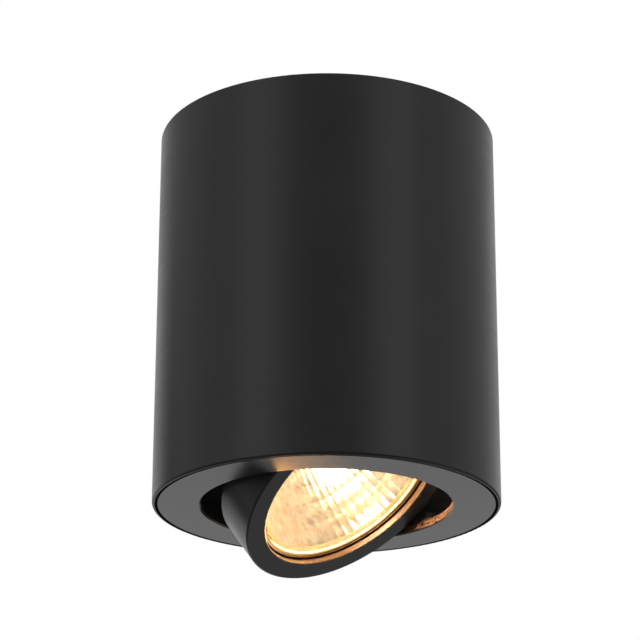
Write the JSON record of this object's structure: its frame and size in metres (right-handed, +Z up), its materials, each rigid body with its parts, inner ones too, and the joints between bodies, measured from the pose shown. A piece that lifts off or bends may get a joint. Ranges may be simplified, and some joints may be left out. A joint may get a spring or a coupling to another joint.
{
  "type": "ceiling spotlight",
  "caption": "Black surface-mounted ceiling spotlight: a plain brushed tube with a flush trim plate and a lit reflector lamp in a ring that tilts on side pivots.",
  "frame": {"origin": "middle of the ceiling face, between the two slots of the ceiling strap", "axes": "+Z up into the ceiling, the two strap slots lie along X, and the pictured side faces -Y"},
  "size_m": [0.09, 0.09, 0.1174],
  "materials": {
    "tube_black": "satin",
    "plate_black": "satin",
    "ring_black": "satin",
    "black_steel": "satin",
    "zinc_steel": "satin",
    "screw_steel": "satin",
    "spring_steel": "satin",
    "fibre": "matte",
    "brass": "satin",
    "nickel": "satin",
    "ceramic": "matte",
    "mirror_glass": "polished",
    "clear_glass": "polished",
    "quartz": "polished",
    "tungsten": "satin",
    "white_nylon": "matte",
    "brown_lead": "satin",
    "blue_lead": "satin"
  },
  "bodies": {
    "housing": {"outer_tube": "tube_black", "side_screws": "black_steel", "trim_plate": "plate_black", "pivot_bracket_back": "black_steel", "pivot_bracket_front": "black_steel", "bracket_foot_screws": "black_steel", "ceiling_strap": "zinc_steel", "cable_bush": "white_nylon", "earth_washer": "brass", "earth_screw": "brass", "terminal_block": "white_nylon", "terminal_sleeves": "brass", "clamp_screws": "screw_steel", "block_screw": "screw_steel", "live_lead": "brown_lead", "neutral_lead": "blue_lead"},
    "tilting_head": {"tilt_ring": "ring_black", "pivot_screws": "screw_steel", "plain_washers": "screw_steel", "disc_springs": "spring_steel", "fibre_washers": "fibre", "lamp_wire_ring": "black_steel", "socket_body": "ceramic", "socket_cover": "ceramic", "socket_contacts": "brass", "socket_rivets": "screw_steel"},
    "lamp": {"lamp_reflector": "mirror_glass", "lamp_front_glass": "clear_glass", "lamp_capsule": "quartz", "lamp_filament": "tungsten", "lamp_base": "ceramic", "lamp_pins": "nickel"}
  },
  "joints": [
    {"name": "ring_tilt", "type": "hinge", "parent": "housing", "child": "tilting_head", "pos_m": [0, 0, -0.0888], "axis": [-0.5299, -0.848, 0], "range_deg": [-77, 3], "deforming": ["live_lead", "neutral_lead"]},
    {"name": "lamp_twist", "type": "hinge", "parent": "tilting_head", "child": "lamp", "pos_m": [0, 0, -0.0888], "axis": [0.5104, -0.3189, -0.7986], "range_deg": [0, 40]}
  ]
}
